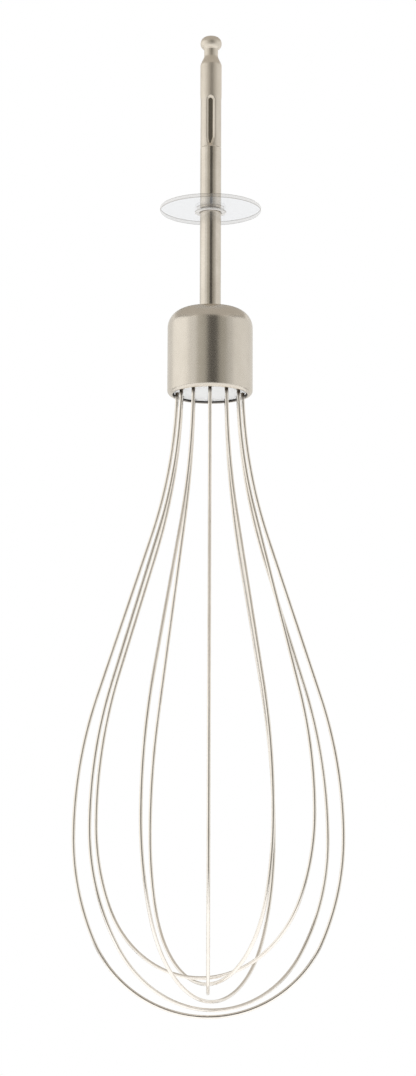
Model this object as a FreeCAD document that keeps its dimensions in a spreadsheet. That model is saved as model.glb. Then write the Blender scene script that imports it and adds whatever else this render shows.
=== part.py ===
import FreeCAD, Part
import math
import os
import Sketcher

# Balloon whisk: drive shank, splash disc, hub and a cage of six nested wire loops.
# Millimetres. Z runs along the shank, up is the mixer's side, and z = 0 is the middle
# of the plain land that the mixer's socket grips.

SIZES = {
    # drive shank: outside radii and heights
    "land_r": 3.0, "ball_r": 2.0, "ball_flat_r": 1.0, "neck_r": 1.95,
    "ball_top_z": 13.1, "ball_side_z": 11.1, "ball_low_z": 9.34,
    "neck_low_z": 7.1, "cone_low_z": 4.8,
    "section_top_z": -4.8, "section_low_z": -19.75, "section_top_r": 2.91,
    "section_low_r": 2.93, "stem_r": 2.95,
    "shank_tip_z": -83.5, "shank_edge_z": -83.1, "shank_tip_r": 2.6,
    # drive flutes: flat floor, two sloping walls, round top, narrow lower end
    "flute_turn": 4.0,
    "flute_floor_y": 2.3, "flute_floor_left_x": -0.88, "flute_floor_right_x": 0.42,
    "flute_floor_top_z": -5.95, "flute_floor_round_r": 0.7, "flute_floor_left_z": -17.3,
    "flute_floor_right_z": -17.0, "flute_floor_tip_z": -18.9,
    "flute_floor_tip_left_x": -0.7, "flute_floor_tip_right_x": -0.1,
    "flute_mouth_y": 2.95, "flute_mouth_left_x": -2.2, "flute_mouth_right_x": 1.18,
    "flute_mouth_top_z": -5.9, "flute_mouth_round_r": 1.9, "flute_mouth_left_z": -17.3,
    "flute_mouth_right_z": -17.5, "flute_mouth_tip_z": -19.6,
    "flute_mouth_tip_left_x": -1.2, "flute_mouth_tip_right_x": 0.3,
    # splash disc and its grommet
    "disc_r": 14.15, "disc_bore_r": 3.78, "disc_top_z": -36.9, "disc_low_z": -38.1,
    "disc_edge": 0.35,
    "grommet_r": 4.4, "grommet_groove_r": 3.72, "grommet_bore_r": 2.98, "grommet_lead_r": 3.2,
    "grommet_top_z": -36.25, "groove_top_z": -36.86, "groove_low_z": -38.14,
    "grommet_low_z": -38.75, "grommet_lead_top_z": -36.45, "grommet_lead_low_z": -38.55,
    # hub cap: drawn sheet with a domed top and a rolled-in rim
    "cap_r": 11.85, "cap_wall_r": 11.15, "cap_hole_r": 2.98,
    "cap_top_z": -65.9, "cap_brow_z": -66.6, "cap_brow_r": 6.55, "cap_side_z": -71.9,
    "cap_corner_r": 5.3, "cap_inner_top_z": -66.6, "cap_inner_brow_z": -67.3,
    "cap_inner_corner_r": 4.6,
    "rim_side_z": -89.65, "rim_r": 1.25, "rim_inner_r": 0.55, "lip_r": 10.6,
    "lip_low_z": -90.9, "lip_top_z": -90.2,
    # hub core: moulded block that grips shank and wires
    "core_r": 11.1, "core_bore_r": 2.98, "core_top_z": -67.4, "core_brow_r": 6.5,
    "core_side_z": -72.0, "core_corner_r": 4.6, "core_low_z": -86.8, "core_bore_low_z": -84.0,
    "wire_bore_r": 0.52, "wire_bore_top_z": -72.9,
    # plug that closes the cap's mouth
    "plug_r": 11.1, "plug_top_z": -86.85, "plug_step_z": -88.7, "plug_face_r": 10.0,
    "plug_low_z": -90.3, "plug_hole_r": 0.65,
    # cross pin through shank and core, set between two wires
    "pin_r": 1.0, "pin_hole_r": 1.01, "pin_length": 14.0, "pin_z": -78.0, "pin_turn": 15.0,
    # wires
    "wire_r": 0.5, "wire_circle_r": 9.05, "wire_top_z": -73.0, "flare_z": -86.8,
    "flare_r": 143.0, "shoulder_r": 124.0,
}

# Each loop: half width, height of the widest level, lowest point, crown radius and the
# crown's small sideways offset. Loop 1 reaches lowest and the others cross above it in turn.
LOOPS = [
    (36.5, -213.4, -261.6, 33.5, 0.0),
    (37.25, -212.6, -259.75, 33.3, 0.85),
    (36.1, -210.6, -257.5, 33.2, 0.65),
    (35.0, -210.0, -255.3, 32.8, 0.0),
    (33.2, -209.5, -252.9, 31.3, -0.6),
    (34.2, -208.1, -251.2, 32.0, 1.65),
]
LOOP_KEYS = ("half_w", "wide_z", "low_z", "crown_r", "crown_x")
WIRES = 2 * len(LOOPS)

doc = FreeCAD.newDocument("whisk")
sheet = doc.addObject("Spreadsheet::Sheet", "Sizes")

for number, loop in enumerate(LOOPS, 1):
    for key, size in zip(LOOP_KEYS, loop):
        SIZES[f"loop{number}_{key}"] = size

for row, (alias, size) in enumerate(SIZES.items(), 1):
    sheet.set(f"A{row}", alias)
    sheet.set(f"B{row}", str(size))
    sheet.setAlias(f"B{row}", alias)
doc.recompute()


def new_body(label, turn=0.0):
    """A body placed on the whisk's axis and turned about it."""
    body = doc.addObject("PartDesign::Body", label)
    body.Label = label
    rotation = FreeCAD.Rotation(FreeCAD.Vector(0, 0, 1), turn)
    body.Placement = FreeCAD.Placement(FreeCAD.Vector(0, 0, 0), rotation)
    return body


def new_sketch(body, name, plane):
    """A sketch on one of the body's own base planes."""
    sketch = body.newObject("Sketcher::SketchObject", f"{body.Name}_{name}")
    base = [item for item in body.Origin.OriginFeatures if item.Role == plane][0]
    sketch.AttachmentSupport = [(base, "")]
    sketch.MapMode = "FlatFace"
    return sketch


def bind(sketch, kind, where, size, alias=None, sign=""):
    """Adds a driving constraint and ties it to the sheet."""
    index = sketch.addConstraint(Sketcher.Constraint(kind, *where, size))
    if alias:
        sketch.setExpression(f"Constraints[{index}]", f"{sign}{sheet.Name}.{alias}")


def coordinate(name):
    """A corner's coordinate: an alias, an alias with a minus sign, or None for zero."""
    if name is None:
        return 0.0, None, ""
    if name.startswith("-"):
        return -SIZES[name[1:]], name[1:], "-"
    return SIZES[name], name, ""


def arc_between(start, end, radius, bulge):
    """The short arc of this radius; bulge +1 curves to the left of the way, -1 to the right."""
    along = end - start
    middle = (start + end) * 0.5
    side = FreeCAD.Vector(-along.y, along.x, 0).normalize() * bulge
    rise = radius - math.sqrt(max(radius ** 2 - (along.Length / 2) ** 2, 0.0))
    return Part.Arc(start, middle + side * rise, end)


def outline(sketch, corners):
    """A closed outline. A corner is (x, y) or (x, y, radius, bulge) for an arc to the next one."""
    places = []
    for corner in corners:
        x, y = coordinate(corner[0])[0], coordinate(corner[1])[0]
        places.append(FreeCAD.Vector(x, y, 0))
    ends = []
    for index, corner in enumerate(corners):
        start, end = places[index], places[(index + 1) % len(places)]
        if len(corner) == 2:
            edge = sketch.addGeometry(Part.LineSegment(start, end), False)
            ends.append((edge, 1, 2))
            continue
        arc = arc_between(start, end, SIZES[corner[2]], corner[3])
        edge = sketch.addGeometry(arc, False)
        first = sketch.getPoint(edge, 1)
        swapped = (first - start).Length > (first - end).Length
        ends.append((edge, 2, 1) if swapped else (edge, 1, 2))
    for index, corner in enumerate(corners):
        edge, begin, finish = ends[index]
        other, other_begin, _ = ends[(index + 1) % len(ends)]
        sketch.addConstraint(Sketcher.Constraint("Coincident", edge, finish, other, other_begin))
        for kind, name in zip(("DistanceX", "DistanceY"), corner):
            size, alias, sign = coordinate(name)
            bind(sketch, kind, (-1, 1, edge, begin), size, alias, sign)
        if len(corner) > 2:
            bind(sketch, "Radius", (edge,), SIZES[corner[2]], corner[2])


def revolved(body, name, corners):
    """A full turn of an outline about the whisk's axis."""
    sketch = new_sketch(body, f"{name}_outline", "XZ_Plane")
    outline(sketch, corners)
    turn = body.newObject("PartDesign::Revolution", f"{body.Name}_{name}")
    turn.Profile = sketch
    turn.ReferenceAxis = (sketch, ["V_Axis"])
    turn.Angle = 360
    sketch.Visibility = False
    return turn


def circle_sketch(body, name, plane, x, y, radius):
    """A sketch with one circle."""
    sketch = new_sketch(body, f"{name}_circle", plane)
    centre = FreeCAD.Vector(coordinate(x)[0], coordinate(y)[0], 0)
    circle = Part.Circle(centre, FreeCAD.Vector(0, 0, 1), SIZES[radius])
    edge = sketch.addGeometry(circle, False)
    for kind, place in (("DistanceX", x), ("DistanceY", y)):
        size, alias, sign = coordinate(place)
        bind(sketch, kind, (-1, 1, edge, 3), size, alias, sign)
    bind(sketch, "Radius", (edge,), SIZES[radius], radius)
    return sketch


def cut_through(body, name, sketch, both_ways):
    """Cuts a sketch through the body, both ways or only away from its plane."""
    cut = body.newObject("PartDesign::Pocket", f"{body.Name}_{name}")
    cut.Profile = sketch
    cut.Type = "ThroughAll"
    cut.Midplane = both_ways
    sketch.Visibility = False
    return cut


def pin_hole(body):
    """The cross pin's hole, turned to pass between two wires."""
    sketch = circle_sketch(body, "pin_hole", "XZ_Plane", None, "pin_z", "pin_hole_r")
    turned = FreeCAD.Rotation(FreeCAD.Vector(0, 1, 0), SIZES["pin_turn"])
    sketch.AttachmentOffset = FreeCAD.Placement(FreeCAD.Vector(0, 0, 0), turned)
    sketch.setExpression("AttachmentOffset.Rotation.Angle", f"{sheet.Name}.pin_turn")
    return cut_through(body, "pin_hole", sketch, True)


def around(body, name, feature, count):
    """Repeats a feature evenly about the whisk's axis."""
    axis = [item for item in body.Origin.OriginFeatures if item.Role == "Z_Axis"][0]
    pattern = body.newObject("PartDesign::PolarPattern", f"{body.Name}_{name}")
    pattern.Originals = [feature]
    pattern.Axis = (axis, [""])
    pattern.Angle = 360
    pattern.Occurrences = count
    body.Tip = pattern
    return pattern


# Drive shank
shank = new_body("drive_shank")
revolved(shank, "rod", [
    (None, "shank_tip_z"),
    ("shank_tip_r", "shank_tip_z"),
    ("stem_r", "shank_edge_z"),
    ("stem_r", "section_low_z"),
    ("section_low_r", "section_low_z"),
    ("section_top_r", "section_top_z"),
    ("land_r", "section_top_z"),
    ("land_r", "cone_low_z"),
    ("neck_r", "neck_low_z"),
    ("neck_r", "ball_low_z", "ball_r", -1),
    ("land_r", "ball_side_z", "ball_r", -1),
    ("ball_flat_r", "ball_top_z"),
    (None, "ball_top_z"),
])


def flute_sketch(level):
    """Outline of the flute at its floor or its mouth, seen square to the floor."""
    name = f"flute_{level}"
    sketch = new_sketch(shank, name, "XZ_Plane")
    turned = FreeCAD.Rotation(FreeCAD.Vector(0, 1, 0), SIZES["flute_turn"])
    off_axis = turned.multVec(FreeCAD.Vector(0, 0, SIZES[f"{name}_y"]))
    sketch.AttachmentOffset = FreeCAD.Placement(off_axis, turned)
    turn, depth = f"{sheet.Name}.flute_turn", f"{sheet.Name}.{name}_y"
    sketch.setExpression("AttachmentOffset.Rotation.Angle", turn)
    sketch.setExpression("AttachmentOffset.Base.x", f"{depth} * sin({turn} * 1deg)")
    sketch.setExpression("AttachmentOffset.Base.z", f"{depth} * cos({turn} * 1deg)")
    outline(sketch, [
        (f"{name}_tip_left_x", f"{name}_tip_z"),
        (f"{name}_tip_right_x", f"{name}_tip_z"),
        (f"{name}_right_x", f"{name}_right_z"),
        (f"{name}_right_x", f"{name}_top_z", f"{name}_round_r", -1),
        (f"{name}_left_x", f"{name}_top_z"),
        (f"{name}_left_x", f"{name}_left_z"),
    ])
    return sketch


flute = shank.newObject("PartDesign::SubtractiveLoft", "flute")
flute.Profile = flute_sketch("floor")
flute.Sections = [(flute_sketch("mouth"), [""])]
flute.Ruled = True
around(shank, "flutes", flute, 2)
pin_hole(shank)

# Splash disc, held in the groove of a grommet that grips the shank
disc = new_body("splash_disc")
plate = revolved(disc, "plate", [
    ("disc_bore_r", "disc_low_z"),
    ("disc_r", "disc_low_z"),
    ("disc_r", "disc_top_z"),
    ("disc_bore_r", "disc_top_z"),
])
doc.recompute()
rims = [
    f"Edge{number}" for number, edge in enumerate(disc.Shape.Edges, 1)
    if len(edge.Vertexes) == 1 and abs(edge.BoundBox.XMax - SIZES["disc_r"]) < 0.01
]
rounded = disc.newObject("PartDesign::Fillet", "splash_disc_edge")
rounded.Base = (plate, rims)
rounded.setExpression("Radius", f"{sheet.Name}.disc_edge")

grommet = new_body("disc_grommet")
revolved(grommet, "ring", [
    ("grommet_lead_r", "grommet_low_z"),
    ("grommet_r", "grommet_low_z"),
    ("grommet_r", "groove_low_z"),
    ("grommet_groove_r", "groove_low_z"),
    ("grommet_groove_r", "groove_top_z"),
    ("grommet_r", "groove_top_z"),
    ("grommet_r", "grommet_top_z"),
    ("grommet_lead_r", "grommet_top_z"),
    ("grommet_bore_r", "grommet_lead_top_z"),
    ("grommet_bore_r", "grommet_lead_low_z"),
])

# Hub cap, core and plug
cap = new_body("hub_cap")
revolved(cap, "shell", [
    ("cap_hole_r", "cap_inner_top_z"),
    ("cap_hole_r", "cap_top_z"),
    ("cap_brow_r", "cap_brow_z", "cap_corner_r", 1),
    ("cap_r", "cap_side_z"),
    ("cap_r", "rim_side_z", "rim_r", 1),
    ("lip_r", "lip_low_z"),
    ("lip_r", "lip_top_z", "rim_inner_r", -1),
    ("cap_wall_r", "rim_side_z"),
    ("cap_wall_r", "cap_side_z", "cap_inner_corner_r", -1),
    ("cap_brow_r", "cap_inner_brow_z"),
])

core = new_body("hub_core")
revolved(core, "block", [
    (None, "core_low_z"),
    ("core_r", "core_low_z"),
    ("core_r", "core_side_z", "core_corner_r", -1),
    ("core_brow_r", "core_top_z"),
    ("core_bore_r", "core_top_z"),
    ("core_bore_r", "core_bore_low_z"),
    (None, "core_bore_low_z"),
])
wire_bore = circle_sketch(core, "wire_bore", "XY_Plane", "wire_circle_r", None, "wire_bore_r")
wire_bore.setExpression("AttachmentOffset.Base.z", f"{sheet.Name}.wire_bore_top_z")
around(core, "wire_bores", cut_through(core, "wire_bore", wire_bore, False), WIRES)
pin_hole(core)

plug = new_body("wire_plug")
revolved(plug, "plate", [
    (None, "plug_low_z"),
    ("plug_face_r", "plug_low_z"),
    ("plug_face_r", "plug_step_z"),
    ("plug_r", "plug_step_z"),
    ("plug_r", "plug_top_z"),
    (None, "plug_top_z"),
])
wire_hole = circle_sketch(plug, "wire_hole", "XY_Plane", "wire_circle_r", None, "plug_hole_r")
around(plug, "wire_holes", cut_through(plug, "wire_hole", wire_hole, True), WIRES)

# Cross pin, drawn along Y and turned with the holes
pin = new_body("cross_pin", turn=SIZES["pin_turn"])
pin_circle = circle_sketch(pin, "end", "XZ_Plane", None, "pin_z", "pin_r")
rod = pin.newObject("PartDesign::Pad", "cross_pin_rod")
rod.Profile = pin_circle
rod.Midplane = True
rod.setExpression("Length", f"{sheet.Name}.pin_length")


def wire_side(reach, wide_z):
    """Where one side of a loop leaves its flare and meets its shoulder, both tangent."""
    leg_x, flare_z = SIZES["wire_circle_r"], SIZES["flare_z"]
    flare_r, shoulder_r = SIZES["flare_r"], SIZES["shoulder_r"]
    both = flare_r + shoulder_r
    across, down = reach - leg_x - both, flare_z - wide_z
    straight = math.sqrt(across ** 2 + down ** 2 - both ** 2)
    lean = math.atan2(across, down) - math.atan2(-both, straight)
    flare_end = FreeCAD.Vector(
        leg_x + flare_r * (1 - math.cos(lean)), flare_z - flare_r * math.sin(lean), 0
    )
    shoulder_start = FreeCAD.Vector(
        reach - shoulder_r * (1 - math.cos(lean)), wide_z + shoulder_r * math.sin(lean), 0
    )
    return flare_end, shoulder_start


def arc_about(centre, start, end):
    """The short arc about a centre."""
    outward = (start + end) * 0.5 - centre
    middle = centre + outward.normalize() * (start - centre).Length
    return Part.Arc(start, middle, end)


def end_at(sketch, edge, place):
    """Which end of an edge lies at this place, 1 or 2."""
    near, far = (sketch.getPoint(edge, end) - place for end in (1, 2))
    return 1 if near.Length < far.Length else 2


def join(sketch, kind, first, second, place):
    """Ties two edges together where they meet."""
    ends = first, end_at(sketch, first, place), second, end_at(sketch, second, place)
    sketch.addConstraint(Sketcher.Constraint(kind, *ends))


def draw_side(sketch, number, side):
    """One side of a loop: leg, flare, straight, shoulder and the long arc below it."""
    half_w, wide_z, low_z, crown_r, crown_x = LOOPS[number - 1]
    leg_x, leg_top_z = SIZES["wire_circle_r"], SIZES["wire_top_z"]
    flare_z, flare_r, shoulder_r = SIZES["flare_z"], SIZES["flare_r"], SIZES["shoulder_r"]
    reach = half_w + side * crown_x
    flare_end, shoulder_start = wire_side(reach, wide_z)
    crown_z = low_z + crown_r
    fall = wide_z - crown_z
    long_r = (half_w ** 2 + fall ** 2 - crown_r ** 2) / (2 * (half_w - crown_r))
    long_centre = FreeCAD.Vector(reach - long_r, wide_z, 0)
    crown_centre = FreeCAD.Vector(side * crown_x, crown_z, 0)
    crown_start = crown_centre + (crown_centre - long_centre).normalize() * crown_r
    leg_top = FreeCAD.Vector(leg_x, leg_top_z, 0)
    leg_low = FreeCAD.Vector(leg_x, flare_z, 0)
    widest = FreeCAD.Vector(reach, wide_z, 0)
    centres = {
        "flare": FreeCAD.Vector(leg_x + flare_r, flare_z, 0),
        "shoulder": FreeCAD.Vector(reach - shoulder_r, wide_z, 0),
        "long": long_centre,
    }
    stops = [leg_top, leg_low, flare_end, shoulder_start, widest, crown_start]
    kinds = ["leg", "flare", "straight", "shoulder", "long"]
    for place in stops + list(centres.values()):
        place.x *= side
    edges = []
    for kind, start, end in zip(kinds, stops, stops[1:]):
        if kind in centres:
            curve = arc_about(centres[kind], start, end)
        else:
            curve = Part.LineSegment(start, end)
        edges.append(sketch.addGeometry(curve, False))
    leg, flare_arc, _, shoulder, long_arc = edges
    for first, second, place in zip(edges, edges[1:], stops[1:]):
        join(sketch, "Tangent", first, second, place)
    sign = "" if side > 0 else "-"
    top, low = end_at(sketch, leg, leg_top), end_at(sketch, leg, leg_low)
    bind(sketch, "DistanceX", (-1, 1, leg, top), leg_top.x, "wire_circle_r", sign)
    bind(sketch, "DistanceY", (-1, 1, leg, top), leg_top_z, "wire_top_z")
    bind(sketch, "DistanceY", (-1, 1, leg, low), flare_z, "flare_z")
    sketch.addConstraint(Sketcher.Constraint("Vertical", leg))
    bind(sketch, "Radius", (flare_arc,), flare_r, "flare_r")
    bind(sketch, "Radius", (shoulder,), shoulder_r, "shoulder_r")
    bind(sketch, "DistanceY", (-1, 1, shoulder, 3), wide_z, f"loop{number}_wide_z")
    bind(sketch, "DistanceY", (-1, 1, long_arc, 3), wide_z, f"loop{number}_wide_z")
    waist = end_at(sketch, shoulder, widest)
    index = sketch.addConstraint(
        Sketcher.Constraint("DistanceX", -1, 1, shoulder, waist, widest.x)
    )
    reach_sum = f"{sheet.Name}.loop{number}_crown_x {sign or '+'} {sheet.Name}.loop{number}_half_w"
    sketch.setExpression(f"Constraints[{index}]", reach_sum)
    return edges, crown_start


def wire_loop(number):
    """A wire bent to a balloon outline, both ends straight where the core holds them."""
    body = new_body(f"wire_loop_{number}", turn=(number - 1) * 360.0 / WIRES)
    _, _, low_z, crown_r, crown_x = LOOPS[number - 1]
    path = new_sketch(body, "path", "XZ_Plane")
    right, right_start = draw_side(path, number, 1)
    left, left_start = draw_side(path, number, -1)
    lowest = FreeCAD.Vector(crown_x, low_z, 0)
    crown = path.addGeometry(Part.Arc(left_start, lowest, right_start), False)
    join(path, "Tangent", right[-1], crown, right_start)
    join(path, "Tangent", left[-1], crown, left_start)
    bind(path, "Radius", (crown,), crown_r, f"loop{number}_crown_r")
    bind(path, "DistanceX", (-1, 1, crown, 3), crown_x, f"loop{number}_crown_x")
    index = path.addConstraint(
        Sketcher.Constraint("DistanceY", -1, 1, crown, 3, low_z + crown_r)
    )
    height = f"{sheet.Name}.loop{number}_low_z + {sheet.Name}.loop{number}_crown_r"
    path.setExpression(f"Constraints[{index}]", height)
    section = circle_sketch(body, "section", "XY_Plane", "wire_circle_r", None, "wire_r")
    section.setExpression("AttachmentOffset.Base.z", f"{sheet.Name}.wire_top_z")
    doc.recompute()
    pipe = body.newObject("PartDesign::AdditivePipe", f"{body.Name}_wire")
    pipe.Profile = section
    pipe.Spine = (path, [f"Edge{edge}" for edge in range(1, len(path.Shape.Edges) + 1)])
    return body


bodies = [shank, disc, grommet, cap, core, plug, pin]
bodies += [wire_loop(number) for number in range(1, len(LOOPS) + 1)]
doc.recompute()

for item in doc.Objects:
    if "Invalid" in item.State or "Error" in item.State:
        raise RuntimeError(f"{item.Name}: {item.State}")

os.makedirs("parts", exist_ok=True)
for body in bodies:
    shape = body.Shape
    if shape.isNull() or not shape.isValid() or len(shape.Solids) != 1:
        raise RuntimeError(f"{body.Label}: bad shape")
    shape.exportStep(f"parts/{body.Label}.step")
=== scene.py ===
import math

import bmesh
import bpy
from mathutils import Matrix, Vector


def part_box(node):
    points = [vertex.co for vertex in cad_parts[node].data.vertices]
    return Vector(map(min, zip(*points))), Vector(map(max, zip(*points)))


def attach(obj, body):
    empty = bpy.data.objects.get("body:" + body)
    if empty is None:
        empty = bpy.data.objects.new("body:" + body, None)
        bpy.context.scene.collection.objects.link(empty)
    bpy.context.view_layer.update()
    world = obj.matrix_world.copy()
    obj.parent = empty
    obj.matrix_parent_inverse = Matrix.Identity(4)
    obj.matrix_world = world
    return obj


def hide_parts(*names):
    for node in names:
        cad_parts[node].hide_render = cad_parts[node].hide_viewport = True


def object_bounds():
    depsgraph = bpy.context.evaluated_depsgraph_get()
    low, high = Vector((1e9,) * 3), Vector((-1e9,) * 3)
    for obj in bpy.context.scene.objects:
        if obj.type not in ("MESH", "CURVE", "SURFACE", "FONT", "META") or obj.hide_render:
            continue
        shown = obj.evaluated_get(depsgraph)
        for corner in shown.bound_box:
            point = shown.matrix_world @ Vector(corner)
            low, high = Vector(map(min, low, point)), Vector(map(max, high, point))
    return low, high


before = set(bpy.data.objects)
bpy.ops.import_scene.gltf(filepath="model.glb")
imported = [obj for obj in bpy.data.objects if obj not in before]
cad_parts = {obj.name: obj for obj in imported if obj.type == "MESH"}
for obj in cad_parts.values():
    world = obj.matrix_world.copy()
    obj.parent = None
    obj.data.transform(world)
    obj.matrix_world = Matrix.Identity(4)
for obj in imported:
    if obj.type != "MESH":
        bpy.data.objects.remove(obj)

MM = 0.001
cad_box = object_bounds()


# ---------------------------------------------------------------- meshes

ON_AXIS = 1e-6        # mm, a profile point this near to Z is one vertex
CORNER_SHARE = 0.45   # most of a run that the rounding of one corner may use


def smooth_object(name, bm, sharp_deg=40.0):
    """Makes an object from a bmesh, smooth except across sharp edges."""
    bmesh.ops.recalc_face_normals(bm, faces=bm.faces)
    mesh = bpy.data.meshes.new(name)
    bm.to_mesh(mesh)
    bm.free()
    mesh.shade_smooth()
    mesh.set_sharp_from_angle(angle=math.radians(sharp_deg))
    piece = bpy.data.objects.new(name, mesh)
    bpy.context.scene.collection.objects.link(piece)
    return piece


def arc_points(centre, radius, start_deg, end_deg, steps):
    """Points of an arc in the (r, z) plane, both ends included."""
    points = []
    for step in range(steps + 1):
        angle = math.radians(start_deg + (end_deg - start_deg) * step / steps)
        points.append((centre[0] + radius * math.cos(angle),
                       centre[1] + radius * math.sin(angle)))
    return points


def divided(points, longest):
    """The same outline with no run longer than this."""
    result = [points[0]]
    for a, b in zip(points, points[1:]):
        count = max(1, math.ceil(math.dist(a, b) / longest))
        for step in range(1, count + 1):
            t = step / count
            result.append((a[0] + (b[0] - a[0]) * t, a[1] + (b[1] - a[1]) * t))
    return result


def even_angles(count):
    """Angles evenly spread over a full turn."""
    return [2 * math.pi * index / count for index in range(count)]


def lathe(name, profile, angles, closed, press=None):
    """Turns an (r, z) profile in mm about Z. press(x, y, z) may move each point."""
    bm = bmesh.new()
    around = len(angles)
    rings = []
    for r, z in profile:
        if r < ON_AXIS:
            rings.append([bm.verts.new((0, 0, z * MM))])
            continue
        ring = []
        for angle in angles:
            x, y = r * math.cos(angle), r * math.sin(angle)
            if press:
                x, y = press(x, y, z)
            ring.append(bm.verts.new((x * MM, y * MM, z * MM)))
        rings.append(ring)
    pairs = list(zip(rings, rings[1:]))
    if closed:
        pairs.append((rings[-1], rings[0]))
    for low, high in pairs:
        for index in range(around):
            after = (index + 1) % around
            if len(low) == 1:
                bm.faces.new((low[0], high[after], high[index]))
            elif len(high) == 1:
                bm.faces.new((low[index], low[after], high[0]))
            else:
                bm.faces.new((low[index], low[after], high[after], high[index]))
    return smooth_object(name, bm)


def rounded(corners, radius, steps=5):
    """Rounds every inner corner of an open outline in mm."""
    result = [corners[0]]
    for before, corner, after in zip(corners, corners[1:], corners[2:]):
        a = Vector(before) - Vector(corner)
        b = Vector(after) - Vector(corner)
        reach = min(radius / math.tan(a.angle(b) / 2), a.length * CORNER_SHARE,
                    b.length * CORNER_SHARE)
        start = Vector(corner) + a.normalized() * reach
        end = Vector(corner) + b.normalized() * reach
        for step in range(steps + 1):
            t = step / steps
            point = start * (1 - t) ** 2 + Vector(corner) * 2 * t * (1 - t) + end * t ** 2
            result.append((point.x, point.y))
    result.append(corners[-1])
    return result


def ring_outline(corners, radius):
    """Rounds a closed outline in mm."""
    return rounded([corners[-1]] + corners + [corners[0]], radius)[1:-1]


# ---------------------------------------------------------------- materials

# Sockets of the Mix node, which has one set for each kind of value.
FLOAT_A, FLOAT_B, FLOAT_RESULT = 2, 3, 0
COLOUR_A, COLOUR_B, COLOUR_RESULT = 6, 7, 2


def material(name):
    """A new node material with its tree and its main shader."""
    made = bpy.data.materials.new(name)
    made.use_nodes = True
    tree = made.node_tree
    return made, tree, tree.nodes["Principled BSDF"]


def add(tree, kind, **values):
    """Adds a node. Each value sets a property, or an input, whose spaces are written _."""
    node = tree.nodes.new(kind)
    for key, value in values.items():
        if hasattr(node, key):
            setattr(node, key, value)
        else:
            node.inputs[key.replace("_", " ")].default_value = value
    return node


def ramp(tree, source, low, high, low_colour, high_colour):
    """A two-stop colour ramp."""
    node = tree.nodes.new("ShaderNodeValToRGB")
    first, last = node.color_ramp.elements
    first.position, last.position = low, high
    first.color, last.color = (*low_colour, 1.0), (*high_colour, 1.0)
    tree.links.new(source, node.inputs["Fac"])
    return node.outputs["Color"]


def span(tree, source, low, high):
    """Maps 0..1 to low..high."""
    node = add(tree, "ShaderNodeMapRange", To_Min=low, To_Max=high)
    tree.links.new(source, node.inputs["Value"])
    return node.outputs["Result"]


def noise(tree, vector, scale, detail=4.0, rough=0.55):
    """Soft noise, from 0 to 1."""
    node = add(tree, "ShaderNodeTexNoise", Scale=scale, Detail=detail, Roughness=rough)
    tree.links.new(vector, node.inputs["Vector"])
    return node.outputs["Fac"]


def stretched(tree, scale=(1.0, 1.0, 1.0)):
    """Object coordinates stretched by a scale on each axis."""
    where = tree.nodes.new("ShaderNodeTexCoord")
    node = add(tree, "ShaderNodeMapping")
    node.inputs["Scale"].default_value = scale
    tree.links.new(where.outputs["Object"], node.inputs["Vector"])
    return node.outputs["Vector"]


def bump(tree, shader, height, strength, distance):
    """Lets a height from 0 to 1 tilt the surface. The distance is in metres."""
    node = add(tree, "ShaderNodeBump", Strength=strength, Distance=distance)
    tree.links.new(height, node.inputs["Height"])
    tree.links.new(node.outputs["Normal"], shader.inputs["Normal"])


def steel(name, dark, light, rough, stretch, grain, depth):
    """Stainless steel: slow tone changes, fine grain, uneven gloss. The depth is in mm."""
    made, tree, shader = material(name)
    slow = noise(tree, stretched(tree, (1.0, 1.0, 0.6)), 260.0, 3.0)
    fine = noise(tree, stretched(tree, stretch), grain, 5.0, 0.65)
    mix = add(tree, "ShaderNodeMix", data_type="FLOAT", Factor=0.45)
    tree.links.new(slow, mix.inputs[FLOAT_A])
    tree.links.new(fine, mix.inputs[FLOAT_B])
    tone = ramp(tree, mix.outputs[FLOAT_RESULT], 0.36, 0.64, dark, light)
    tree.links.new(tone, shader.inputs["Base Color"])
    tree.links.new(span(tree, fine, *rough), shader.inputs["Roughness"])
    shader.inputs["Metallic"].default_value = 1.0
    bump(tree, shader, fine, 0.35, depth * MM)
    return made


steel_shank = steel("steel_shank", dark=(0.67, 0.615, 0.535), light=(0.77, 0.715, 0.635),
                    rough=(0.17, 0.27), stretch=(1.0, 1.0, 5.0), grain=900.0, depth=0.006)
steel_flute = steel("steel_flute", dark=(0.69, 0.635, 0.555), light=(0.77, 0.715, 0.635),
                    rough=(0.28, 0.38), stretch=(1.0, 1.0, 3.0), grain=1000.0, depth=0.006)
steel_land = steel("steel_land", dark=(0.74, 0.68, 0.59), light=(0.81, 0.75, 0.66),
                   rough=(0.38, 0.48), stretch=(1.0, 1.0, 2.0), grain=1300.0, depth=0.008)
# Steel for the flute floors, given a lighter colour than the rest of the rod: painted light in
# the floors.
flute_floor_painted_light = steel("flute_floor_painted_light", dark=(0.80, 0.71, 0.58), light=(0.92, 0.83, 0.69),
                    rough=(0.15, 0.24), stretch=(1.0, 1.0, 3.0), grain=1300.0, depth=0.006)
steel_hub = steel("steel_hub", dark=(0.675, 0.625, 0.55), light=(0.74, 0.69, 0.615),
                  rough=(0.22, 0.32), stretch=(1.0, 1.0, 4.0), grain=1100.0, depth=0.007)
steel_wire = steel("steel_wire", dark=(0.90, 0.85, 0.785), light=(0.98, 0.94, 0.885),
                   rough=(0.17, 0.22), stretch=(1.0, 1.0, 0.3), grain=420.0, depth=0.001)
# Near-black steel for the hub's inner face: painted shade inside the hub.
inside_painted_shade = steel("inside_painted_shade", dark=(0.16, 0.15, 0.14), light=(0.26, 0.25, 0.24),
                     rough=(0.30, 0.42), stretch=(1.0, 1.0, 1.0), grain=900.0, depth=0.006)
steel_pin = steel("steel_pin", dark=(0.45, 0.45, 0.45), light=(0.60, 0.60, 0.60),
                  rough=(0.25, 0.40), stretch=(1.0, 1.0, 1.0), grain=1200.0, depth=0.02)


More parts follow.
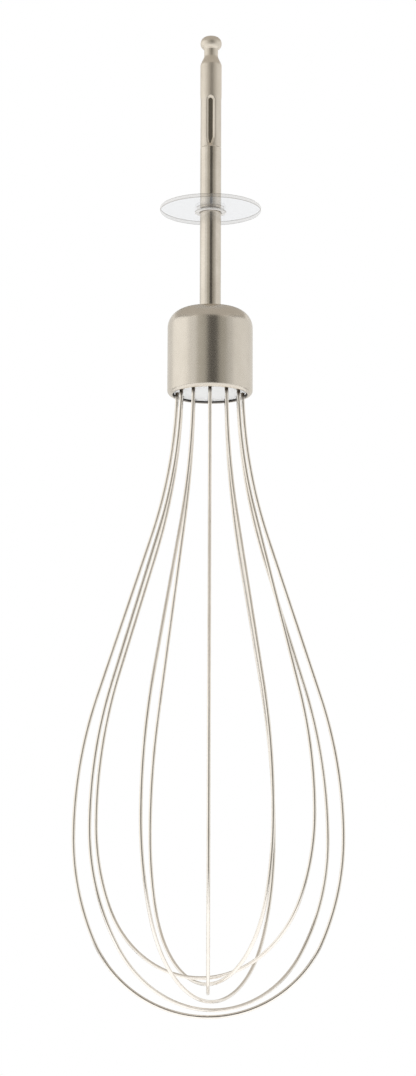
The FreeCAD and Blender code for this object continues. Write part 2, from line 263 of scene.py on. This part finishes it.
def darken_above(made, low_z, high_z, dark):
    """Fades a material's colour to a dark one between two heights in mm."""
    tree = made.node_tree
    base = tree.nodes["Principled BSDF"].inputs["Base Color"]
    where = tree.nodes.new("ShaderNodeTexCoord")
    parts = tree.nodes.new("ShaderNodeSeparateXYZ")
    tree.links.new(where.outputs["Object"], parts.inputs[0])
    fade = add(tree, "ShaderNodeMapRange", From_Min=low_z * MM, From_Max=high_z * MM)
    tree.links.new(parts.outputs["Z"], fade.inputs["Value"])
    mix = add(tree, "ShaderNodeMix", data_type="RGBA")
    tree.links.new(fade.outputs["Result"], mix.inputs["Factor"])
    tree.links.new(base.links[0].from_socket, mix.inputs[COLOUR_A])
    mix.inputs[COLOUR_B].default_value = (*dark, 1.0)
    tree.links.new(mix.outputs[COLOUR_RESULT], base)


# Painted shade on the wires where they enter the plug, under the hub's rim.
darken_above(steel_wire, -92.4, -91.2, (0.14, 0.115, 0.09))


def clear_plastic(name, dark, light, alpha, rough):
    """Clear plastic with faint haze and rub marks."""
    made, tree, shader = material(name)
    haze = noise(tree, stretched(tree), 220.0, 5.0)
    scratches = noise(tree, stretched(tree, (1.0, 9.0, 1.0)), 420.0, 3.0)
    tree.links.new(ramp(tree, haze, 0.3, 0.7, dark, light), shader.inputs["Base Color"])
    tree.links.new(span(tree, haze, *alpha), shader.inputs["Alpha"])
    tree.links.new(span(tree, scratches, rough - 0.04, rough + 0.06),
                   shader.inputs["Roughness"])
    bump(tree, shader, scratches, 0.12, 0.02 * MM)
    return made


disc_plastic = clear_plastic("disc_plastic", dark=(0.46, 0.52, 0.60), light=(0.58, 0.63, 0.70),
                             alpha=(0.10, 0.17), rough=0.08)
# Tan, half-opaque copies of the clear plastic for its rounded edges and walls: painted shade of
# the light bent at those edges.
edge_painted_shade = clear_plastic("edge_painted_shade", dark=(0.20, 0.165, 0.12), light=(0.30, 0.26, 0.21),
                            alpha=(0.50, 0.64), rough=0.10)
wall_painted_shade = clear_plastic("wall_painted_shade", dark=(0.40, 0.34, 0.27), light=(0.54, 0.48, 0.40),
                             alpha=(0.20, 0.30), rough=0.10)
grommet_plastic = clear_plastic("grommet_plastic", dark=(0.60, 0.60, 0.58),
                                light=(0.75, 0.75, 0.73), alpha=(0.03, 0.08), rough=0.12)
# Near-opaque white for the grommet's lower faces: a painted highlight on the clear ring.
collar_painted_highlight = clear_plastic("collar_painted_highlight", dark=(0.94, 0.94, 0.94),
                               light=(0.98, 0.98, 0.98), alpha=(0.86, 0.96), rough=0.12)


def moulded(name, dark, light, rough, pebble):
    """Moulded plastic with a fine pebbled skin."""
    made, tree, shader = material(name)
    grit = noise(tree, stretched(tree), pebble, 6.0, 0.6)
    tree.links.new(ramp(tree, grit, 0.35, 0.65, dark, light), shader.inputs["Base Color"])
    tree.links.new(span(tree, grit, rough - 0.08, rough + 0.08), shader.inputs["Roughness"])
    shader.inputs["Specular IOR Level"].default_value = 0.4
    shader.inputs["Subsurface Weight"].default_value = 0.15
    shader.inputs["Subsurface Radius"].default_value = (1.2 * MM, 1.2 * MM, 1.2 * MM)
    shader.inputs["Subsurface Scale"].default_value = 1.0
    bump(tree, shader, grit, 0.25, 0.03 * MM)
    return made


white_plastic = moulded("white_plastic", dark=(0.90, 0.92, 0.94), light=(0.95, 0.965, 0.98),
                        rough=0.42, pebble=1400.0)
core_nylon = moulded("core_nylon", dark=(0.68, 0.68, 0.65), light=(0.76, 0.76, 0.73),
                     rough=0.5, pebble=900.0)


# ---------------------------------------------------------------- drive shank
# Radii and heights here and below are in mm.

FLUTE_TURN = math.radians(4.0)
FLUTE_FLOOR, FLUTE_MOUTH = 2.3, 2.95    # distances from the axis
FLUTE_LOW_Z, FLUTE_TOP_Z = -19.7, -4.7
FLUTE_OUTER = 1.3                       # the walls go on past the mouth to this share


def arch(left, right, z, bow, steps=7):
    """Points of a shallow arch from right to left."""
    points = []
    for step in range(steps + 1):
        t = step / steps
        points.append((right + (left - right) * t, z + bow * 4 * t * (1 - t)))
    return points


floor_edge = ([(-0.7, -18.9), (-0.1, -18.9), (0.42, -17.0)]
              + arch(-0.88, 0.42, -5.95, 0.44) + [(-0.88, -17.3)])
mouth_edge = ([(-1.2, -19.6), (0.3, -19.6), (1.18, -17.5)]
              + arch(-2.2, 1.18, -5.9, 1.03) + [(-2.2, -17.3)])


def inside(point, t):
    """Whether a point lies in the flute's outline at the share t from floor to mouth."""
    outline = [((1 - t) * a[0] + t * b[0], (1 - t) * a[1] + t * b[1])
               for a, b in zip(floor_edge, mouth_edge)]
    for a, b in zip(outline, outline[1:] + outline[:1]):
        if (b[0] - a[0]) * (point[1] - a[1]) - (b[1] - a[1]) * (point[0] - a[0]) < 0:
            return False
    return True


def flute_height(u, z, halvings=12):
    """How far from the axis the flute's surface lies."""
    if inside((u, z), 0.0):
        return FLUTE_FLOOR
    low, high = 0.0, FLUTE_OUTER
    for _ in range(halvings):
        middle = (low + high) / 2
        if inside((u, z), middle):
            high = middle
        else:
            low = middle
    return FLUTE_FLOOR + (FLUTE_MOUTH - FLUTE_FLOOR) * high


def soft_min(a, b, soft=0.03):
    """The smaller of two numbers, blended over a short distance."""
    h = max(0.0, min(1.0, 0.5 + 0.5 * (b - a) / soft))
    return b + (a - b) * h - soft * h * (1 - h)


def flute_press(x, y, z, nearest=1.2, widest=2.3):
    """Presses the two drive flutes into the round rod."""
    if not FLUTE_LOW_Z < z < FLUTE_TOP_Z:
        return x, y
    c, s = math.cos(FLUTE_TURN), math.sin(FLUTE_TURN)
    u, w = x * c + y * s, x * s - y * c
    side = 1.0 if w > 0 else -1.0
    u, w = u * side, w * side
    if w < nearest or u < -widest:
        return x, y
    w = soft_min(w, flute_height(u, z))
    u, w = u * side, w * side
    return u * c + w * s, u * s - w * c


TIP_R, STEM_R, LAND_R, NECK_R = 2.6, 2.95, 3.0, 1.95
TIP_Z, TIP_EDGE_Z = -83.5, -83.1
LAND_LOW_Z, CONE_LOW_Z, NECK_LOW_Z, BALL_LOW_Z = -4.2, 4.8, 7.1, 9.34
BALL_R, BALL_AT_R, BALL_SKIRT_R = 2.0, 1.0, 2.5
FINE_LOW_Z, FINE_TOP_Z, FINE_STEP = -20.3, -4.25, 0.16    # the stretch with the flutes
SHORTEST_RUN = 0.004

top_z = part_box("drive_shank")[1][2] / MM
ball_z = top_z - BALL_R
profile = [(0.0, TIP_Z), (TIP_R, TIP_Z), (STEM_R, TIP_EDGE_Z), (STEM_R, -19.79), (2.92, -19.73)]
profile += [(2.91, -6.0), (2.93, -5.4), (2.97, -4.9), (LAND_R, -4.3)]
profile += rounded([(LAND_R, LAND_LOW_Z), (LAND_R, CONE_LOW_Z), (NECK_R, NECK_LOW_Z),
                    (NECK_R, BALL_LOW_Z)], 1.6)[1:-1]
profile += rounded([(NECK_R, 8.3), (NECK_R, BALL_LOW_Z), (2.45, 9.72)], 0.5)
profile += [(r, z) for r, z in arc_points((BALL_AT_R, ball_z), BALL_R, -90.0, 90.0, 44)
            if r > BALL_SKIRT_R or z > ball_z]
profile += [(0.0, top_z)]
profile = [point for index, point in enumerate(profile)
           if index == 0 or math.dist(point, profile[index - 1]) > SHORTEST_RUN]
fluted = divided([(STEM_R, FINE_LOW_Z)]
                 + [point for point in profile if FINE_LOW_Z < point[1] < FINE_TOP_Z]
                 + [(LAND_R, FINE_TOP_Z)], FINE_STEP)
profile = ([point for point in profile if point[1] <= FINE_LOW_Z] + fluted
           + [point for point in profile if point[1] > FINE_TOP_Z])

# The mesh is finer around the two flutes than on the rest of the rod.
dense = [side + FLUTE_TURN + math.radians(degrees)
         for side in (-math.pi / 2, math.pi / 2) for degrees in range(-50, 30, 2)]
spread = [angle for angle in even_angles(72)
          if all(abs((angle - near + math.pi) % (2 * math.pi) - math.pi) > math.radians(2.2)
                 for near in dense)]
turns = sorted(angle % (2 * math.pi) for angle in dense + spread)
shank = lathe("shank_rod", profile, turns, False, flute_press)

STEM, SECTION, LAND, FLOOR = range(4)
for look in (steel_shank, steel_flute, steel_land, flute_floor_painted_light):
    shank.data.materials.append(look)
for face in shank.data.polygons:
    x, y, height = face.center / MM
    out = abs(x * math.sin(FLUTE_TURN) - y * math.cos(FLUTE_TURN))
    if out < FLUTE_FLOOR + 0.03 and math.hypot(x, y) < 2.6 and -19.0 < height < -5.4:
        face.material_index = FLOOR
    elif height < -19.75:
        face.material_index = STEM
    else:
        face.material_index = SECTION if height < -5.4 else LAND
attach(shank, "whisk")
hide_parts("drive_shank")

# ---------------------------------------------------------------- splash disc and grommet

DISC_BORE_R, DISC_EDGE = 3.78, 0.34

disc_low, disc_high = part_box("splash_disc")
disc_r, disc_z0, disc_z1 = disc_high[0] / MM, disc_low[2] / MM, disc_high[2] / MM
disc_outline = ring_outline([(DISC_BORE_R, disc_z0), (disc_r, disc_z0), (disc_r, disc_z1),
                             (DISC_BORE_R, disc_z1)], DISC_EDGE)
disc = lathe("disc_clear", disc_outline, even_angles(160), True)
for look in (disc_plastic, edge_painted_shade, wall_painted_shade):
    disc.data.materials.append(look)
# Flat faces are clear; the rounded edges and the walls get painted shade.
for face in disc.data.polygons:
    level = abs(face.normal.z)
    face.material_index = 0 if level > 0.9 else 1 if level > 0.3 else 2
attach(disc, "disc")
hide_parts("splash_disc")

GROMMET_R, GROOVE_R, BORE_R, LEAD_R = 4.4, 3.72, 2.98, 3.2
GROOVE_LOW_Z, GROOVE_TOP_Z = -38.14, -36.86
LEAD, THINNED, GROMMET_EDGE = 0.2, 0.22, 0.12    # THINNED is taken off the lower flange

ring_low, ring_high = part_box("disc_grommet")
ring_z0, ring_z1 = ring_low[2] / MM + THINNED, ring_high[2] / MM
grommet_outline = ring_outline([
    (LEAD_R, ring_z0), (GROMMET_R, ring_z0), (GROMMET_R, GROOVE_LOW_Z),
    (GROOVE_R, GROOVE_LOW_Z), (GROOVE_R, GROOVE_TOP_Z), (GROMMET_R, GROOVE_TOP_Z),
    (GROMMET_R, ring_z1), (LEAD_R, ring_z1), (BORE_R, ring_z1 - LEAD), (BORE_R, ring_z0 + LEAD),
], GROMMET_EDGE)
grommet = lathe("grommet_ring", grommet_outline, even_angles(96), True)
for look in (grommet_plastic, collar_painted_highlight, edge_painted_shade):
    grommet.data.materials.append(look)
# The upper faces are clear; the lower faces get the painted highlight and their sloped edges
# painted shade.
for face in grommet.data.polygons:
    on_edge = 0.3 < abs(face.normal.z) < 0.9
    face.material_index = 0 if face.center.z / MM > -38.1 else 2 if on_edge else 1
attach(grommet, "grommet")
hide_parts("disc_grommet")

# ---------------------------------------------------------------- hub

SHEET, CORNER_R, RIM_R = 0.7, 5.3, 1.25
CORNER_DROP = 6.0          # from the top of the dome to where its corner meets the side
LIP_AT_R, LIP_R = 10.6, SHEET / 2
INSIDE_DROP = 1.0          # the inner face with painted shade starts this far below the top

cap_low, cap_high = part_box("hub_cap")
cap_r, cap_z0, cap_z1 = cap_high[0] / MM, cap_low[2] / MM, cap_high[2] / MM
corner_centre = (cap_r - CORNER_R, cap_z1 - CORNER_DROP)
rim_centre = (cap_r - RIM_R, cap_z0 + RIM_R)
cap_outline = [(BORE_R, cap_z1 - SHEET), (BORE_R, cap_z1 - 0.06), (3.05, cap_z1 - 0.02),
               (5.2, cap_z1 - 0.38)]
cap_outline += arc_points(corner_centre, CORNER_R, 80.0, 0.0, 20)
cap_outline += arc_points(rim_centre, RIM_R, 0.0, -88.0, 12)
cap_outline += arc_points((LIP_AT_R, cap_z0 + LIP_R), LIP_R, -90.0, -270.0, 8)
cap_outline += arc_points(rim_centre, RIM_R - SHEET, -80.0, 0.0, 6)
cap_outline += arc_points(corner_centre, CORNER_R - SHEET, 0.0, 80.0, 12)
cap = lathe("hub_shell", cap_outline, even_angles(144), True)
cap.data.materials.append(steel_hub)
cap.data.materials.append(inside_painted_shade)
# Inward faces below the top get the painted shade.
for face in cap.data.polygons:
    inward = face.normal.xy.dot(face.center.xy) < -0.2 * face.center.xy.length
    face.material_index = 1 if inward and face.center.z < (cap_z1 - INSIDE_DROP) * MM else 0
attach(cap, "whisk")
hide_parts("hub_cap")

for node, look in (("wire_plug", white_plastic), ("hub_core", core_nylon),
                   ("cross_pin", steel_pin)):
    for slot in bpy.data.objects[node].material_slots:
        slot.material = look

# ---------------------------------------------------------------- wire loops

WIRE_R = 0.5
LEG_X, LEG_TOP, LEG_MIDDLE, FLARE_Z = 9.05, -73.0, -80.0, -86.8
FLARE_R, SHOULDER_R = 143.0, 124.0
LONGEST_RUN = 3.0

# Each loop: half width, height of the widest level, lowest point, crown radius and the
# crown's small sideways offset.
LOOPS = [
    (36.5, -213.4, -261.6, 33.5, 0.0),
    (37.25, -212.6, -259.75, 33.3, 0.85),
    (36.1, -210.6, -257.5, 33.2, 0.65),
    (35.0, -210.0, -255.3, 32.8, 0.0),
    (33.2, -209.5, -252.9, 31.3, -0.6),
    (34.2, -208.1, -251.2, 32.0, 1.65),
]
LOOP_TURN = 30.0


def loop_side(half_w, wide_z, low_z, crown_r, crown_x, side):
    """Centreline of one side of a loop, from its leg down to the crown's lowest point."""
    reach = half_w + side * crown_x
    both = FLARE_R + SHOULDER_R
    across, down = reach - LEG_X - both, FLARE_Z - wide_z
    straight = math.sqrt(across ** 2 + down ** 2 - both ** 2)
    lean = math.degrees(math.atan2(across, down) - math.atan2(-both, straight))
    crown_z = low_z + crown_r
    fall = wide_z - crown_z
    long_r = (half_w ** 2 + fall ** 2 - crown_r ** 2) / (2 * (half_w - crown_r))
    sweep = math.degrees(math.atan2(fall, long_r - half_w))
    points = [(LEG_X, LEG_TOP), (LEG_X, LEG_MIDDLE)]
    points += arc_points((LEG_X + FLARE_R, FLARE_Z), FLARE_R, 180.0, 180.0 + lean, 26)
    points += arc_points((reach - SHOULDER_R, wide_z), SHOULDER_R, lean, 0.0, 26)
    points += arc_points((reach - long_r, wide_z), long_r, 0.0, -sweep, 14)[1:]
    points += arc_points((side * crown_x, crown_z), crown_r, -sweep, -90.0, 36)[1:]
    return divided([(side * x, z) for x, z in points], LONGEST_RUN)


def tube(name, path, turn, sides=20):
    """A round wire along a plane path, turned about Z."""
    bm = bmesh.new()
    spin = Matrix.Rotation(turn, 3, "Z")
    binormal = Vector((0, 1, 0))
    rings = []
    for index, (x, z) in enumerate(path):
        before = Vector((*path[max(index - 1, 0)], 0))
        after = Vector((*path[min(index + 1, len(path) - 1)], 0))
        along = (after - before).normalized()
        normal = Vector((-along.y, 0, along.x))
        ring = []
        for angle in even_angles(sides):
            offset = (normal * math.cos(angle) + binormal * math.sin(angle)) * WIRE_R
            place = spin @ (Vector((x, 0, z)) + offset)
            ring.append(bm.verts.new(place * MM))
        rings.append(ring)
    for low, high in zip(rings, rings[1:]):
        for step in range(sides):
            after = (step + 1) % sides
            bm.faces.new((low[step], low[after], high[after], high[step]))
    bm.faces.new(rings[0])
    bm.faces.new(rings[-1])
    return smooth_object(name, bm, 60.0)


for number, loop in enumerate(LOOPS, 1):
    right = loop_side(*loop, 1)
    left = loop_side(*loop, -1)
    path = right + left[-2::-1]
    wire = tube(f"wire_{number}", path, math.radians(LOOP_TURN * (number - 1)))
    wire.data.materials.append(steel_wire)
    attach(wire, "whisk")
    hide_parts(f"wire_loop_{number}")

# ---------------------------------------------------------------- floor, light and camera
# Places and sizes from here on are in metres.

FLOOR_DROP, FLOOR_R = 0.7, 1.65

bm = bmesh.new()
bmesh.ops.create_circle(bm, cap_ends=True, segments=96, radius=FLOOR_R)
bmesh.ops.translate(bm, verts=bm.verts, vec=(0, 0, cad_box[0][2] - FLOOR_DROP))
floor = smooth_object("floor", bm)
floor_look, tree, shader = material("floor_paint")
patch = noise(tree, stretched(tree), 3.0, 3.0)
tree.links.new(ramp(tree, patch, 0.3, 0.7, (0.43, 0.43, 0.43), (0.46, 0.46, 0.46)),
               shader.inputs["Base Color"])
shader.inputs["Roughness"].default_value = 0.85
shader.inputs["Emission Color"].default_value = (1.0, 1.0, 1.0, 1.0)
shader.inputs["Emission Strength"].default_value = 0.80
floor.data.materials.append(floor_look)


def panel(name, place, width, height, strength, colour, aim):
    """A soft rectangular light of the given brightness, which faces a point."""
    light = bpy.data.lights.new(name, "AREA")
    light.shape = "RECTANGLE"
    light.size, light.size_y = width, height
    light.energy = strength * width * height * math.pi
    light.color = colour
    lamp = bpy.data.objects.new(name, light)
    lamp.location = place
    lamp.rotation_euler = (aim - Vector(place)).to_track_quat("-Z", "Y").to_euler()
    lamp.visible_camera = False
    bpy.context.scene.collection.objects.link(lamp)


SOFT_WHITE, WARM_WHITE = (1.0, 0.99, 0.965), (1.0, 0.965, 0.87)
RING_REACH, RING_TALL, RING_Z = 1.7, 1.9, 0.05
TOP_Z, TOP_SIZE, TOP_STRENGTH, TOP_WHITE = 1.0, 3.0, 0.46, (1.0, 0.94, 0.86)

# A ring of panels around the whisk, each from one angle to another, in degrees from the
# front towards the right. The gap just right of the front gives the steel its dark line.
RING = (
    ("left_back", -180, -120, 0.72, SOFT_WHITE), ("left_side", -120, -62, 1.02, SOFT_WHITE),
    ("left_front", -62, -36, 0.74, SOFT_WHITE), ("front_fill", -36, -8, 0.41, WARM_WHITE),
    ("right_front", 22, 46, 0.34, WARM_WHITE), ("right_fill", 46, 64, 0.56, SOFT_WHITE),
    ("right_side", 64, 122, 0.79, SOFT_WHITE), ("right_back", 122, 180, 0.75, SOFT_WHITE),
)
for name, start, end, strength, colour in RING:
    middle, half = math.radians((start + end) / 2), math.radians((end - start) / 2)
    place = (RING_REACH * math.sin(middle), -RING_REACH * math.cos(middle), RING_Z)
    panel(name, place, 2 * RING_REACH * math.tan(half), RING_TALL, strength, colour,
          Vector((0, 0, RING_Z)))
panel("top_soft", (0.0, 0.0, TOP_Z), TOP_SIZE, TOP_SIZE, TOP_STRENGTH, TOP_WHITE,
      Vector((0, 0, 0)))

# The room is white to the camera and dim to everything else.
world = bpy.data.worlds.new("studio")
world.use_nodes = True
tree = world.node_tree
tree.nodes.clear()
output = tree.nodes.new("ShaderNodeOutputWorld")
seen = add(tree, "ShaderNodeBackground", Color=(1, 1, 1, 1), Strength=1.0)
room = add(tree, "ShaderNodeBackground", Color=(1.0, 0.95, 0.88, 1), Strength=0.08)
rays = tree.nodes.new("ShaderNodeLightPath")
mix = tree.nodes.new("ShaderNodeMixShader")
tree.links.new(rays.outputs["Is Camera Ray"], mix.inputs["Fac"])
tree.links.new(room.outputs[0], mix.inputs[1])
tree.links.new(seen.outputs[0], mix.inputs[2])
tree.links.new(mix.outputs[0], output.inputs["Surface"])
bpy.context.scene.world = world

AIM_Z, DISTANCE, ASIDE = -0.1312, 0.8796, -0.0004
BELOW, ROLL = math.radians(10.533), math.radians(0.2)
SENSOR_MM, LENS_MM = 36.0, 107.0

camera_data = bpy.data.cameras.new("camera")
camera_data.sensor_fit = "VERTICAL"
camera_data.sensor_height = SENSOR_MM
camera_data.lens = LENS_MM
camera = bpy.data.objects.new("camera", camera_data)
place = Vector((ASIDE, -math.cos(BELOW) * DISTANCE, AIM_Z - math.sin(BELOW) * DISTANCE))
tilt = Matrix.Rotation(math.pi / 2 + BELOW, 4, "X") @ Matrix.Rotation(ROLL, 4, "Z")
camera.matrix_world = Matrix.Translation(place) @ tilt
bpy.context.scene.collection.objects.link(camera)
bpy.context.scene.camera = camera
bpy.context.scene.view_settings.view_transform = "Standard"
